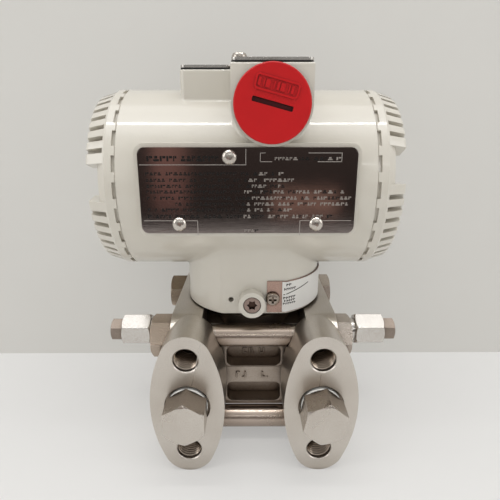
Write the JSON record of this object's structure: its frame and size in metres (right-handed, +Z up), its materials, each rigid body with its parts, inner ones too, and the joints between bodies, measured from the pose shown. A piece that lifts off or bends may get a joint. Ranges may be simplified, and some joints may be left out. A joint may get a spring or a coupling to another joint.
{
  "type": "differential pressure transmitter",
  "caption": "Differential pressure transmitter: cast housing with ribbed screw covers on a sensor capsule clamped between oval process flanges.",
  "frame": {"origin": "centre of the rectangle of tapped manifold holes on the process face", "axes": "+X along the capsule and barrel axis to the right, +Y from the process face towards the back, +Z up along the neck"},
  "size_m": [0.1404, 0.1025, 0.1643],
  "materials": {
    "cast_steel": "cast, blasted",
    "turned_steel": "turned",
    "seal_rubber": "matte",
    "flange_steel": "fine satin, blasted",
    "gasket_white": "matte",
    "diaphragm_foil": "smooth foil",
    "bolt_steel": "satin",
    "nut_steel": "dull, brownish",
    "plug_steel": "turned",
    "sealing_tape": "matte",
    "vent_steel": "bright",
    "cream_paint": "gloss enamel",
    "module_plastic": "matte",
    "screw_steel": "satin",
    "terminal_plastic": "matte",
    "terminal_brass": "plated",
    "plate_steel": "polished stainless",
    "rivet_steel": "satin",
    "dark_gasket": "matte",
    "top_plate_steel": "satin",
    "red_plastic": "satin gloss",
    "tag_steel": "bright",
    "label_white": "smooth",
    "ball_steel": "polished",
    "stem_steel": "satin"
  },
  "bodies": {
    "sensor": {"sensor_body": "cast_steel", "sensor_neck": "turned_steel", "neck_seal": "seal_rubber", "left_flange": "flange_steel", "right_flange": "flange_steel", "left_flange_gasket": "gasket_white", "right_flange_gasket": "gasket_white", "left_diaphragm": "diaphragm_foil", "right_diaphragm": "diaphragm_foil", "flange_bolts": "bolt_steel", "flange_nuts": "nut_steel", "left_process_plug": "plug_steel", "right_process_plug": "plug_steel", "left_plug_tape": "sealing_tape", "right_plug_tape": "sealing_tape", "left_vent_body": "vent_steel", "right_vent_body": "vent_steel"},
    "housing": {"housing": "cream_paint", "electronics_module": "module_plastic", "module_screws": "screw_steel", "terminal_block": "terminal_plastic", "terminal_screws": "terminal_brass", "certification_plate": "plate_steel", "plate_rivets": "rivet_steel", "identification_gasket": "dark_gasket", "identification_plate": "top_plate_steel", "identification_screws": "screw_steel", "wing_gasket": "dark_gasket", "wing_plate": "top_plate_steel", "front_conduit_plug": "red_plastic", "rear_conduit_plug": "red_plastic", "neck_lock_screw": "screw_steel", "ground_screw": "screw_steel", "tag_band": "tag_steel", "tag_label": "label_white"},
    "left_cover_ring": {"left_cover_seal": "seal_rubber"},
    "left_cover_cap": {"left_cover": "cream_paint"},
    "right_cover_ring": {"right_cover_seal": "seal_rubber"},
    "right_cover_cap": {"right_cover": "cream_paint"},
    "left_vent_needle": {"left_vent_ball": "ball_steel"},
    "left_vent_screw": {"left_vent_stem": "stem_steel"},
    "right_vent_needle": {"right_vent_ball": "ball_steel"},
    "right_vent_screw": {"right_vent_stem": "stem_steel"}
  },
  "joints": [
    {"name": "housing_turn", "type": "hinge", "parent": "sensor", "child": "housing", "pos_m": [0, 0.048, 0.0316], "axis": [0, 0, 1], "range_deg": [-180, 180]},
    {"name": "left_cover_travel", "type": "slide", "parent": "housing", "child": "left_cover_ring", "axis": [-1, 0, 0], "range_m": [0, 0.0101]},
    {"name": "left_cover_turn", "type": "hinge", "parent": "left_cover_ring", "child": "left_cover_cap", "pos_m": [-0.0513, 0.048, 0.0856], "axis": [-1, 0, 0], "range_deg": [0, 1800]},
    {"name": "left_vent_travel", "type": "slide", "parent": "sensor", "child": "left_vent_needle", "axis": [-1, 0, 0], "range_m": [0, 0.002]},
    {"name": "left_vent_turn", "type": "hinge", "parent": "left_vent_needle", "child": "left_vent_screw", "pos_m": [-0.0645, 0.048, 0.0104], "axis": [-1, 0, 0], "range_deg": [0, 720]},
    {"name": "right_cover_travel", "type": "slide", "parent": "housing", "child": "right_cover_ring", "axis": [1, 0, 0], "range_m": [0, 0.0101]},
    {"name": "right_cover_turn", "type": "hinge", "parent": "right_cover_ring", "child": "right_cover_cap", "pos_m": [0.0455, 0.048, 0.0856], "axis": [1, 0, 0], "range_deg": [0, 1800]},
    {"name": "right_vent_travel", "type": "slide", "parent": "sensor", "child": "right_vent_needle", "axis": [1, 0, 0], "range_m": [0, 0.002]},
    {"name": "right_vent_turn", "type": "hinge", "parent": "right_vent_needle", "child": "right_vent_screw", "pos_m": [0.0645, 0.048, 0.0104], "axis": [1, 0, 0], "range_deg": [0, 720]}
  ],
  "couplings": [
    {"joint": "left_cover_travel", "follows": "left_cover_turn", "m_per_rad": 0.00031831},
    {"joint": "left_vent_turn", "follows": "left_vent_travel", "rad_per_m": 6283.2},
    {"joint": "right_cover_travel", "follows": "right_cover_turn", "m_per_rad": 0.00031831},
    {"joint": "right_vent_turn", "follows": "right_vent_travel", "rad_per_m": 6283.2}
  ]
}
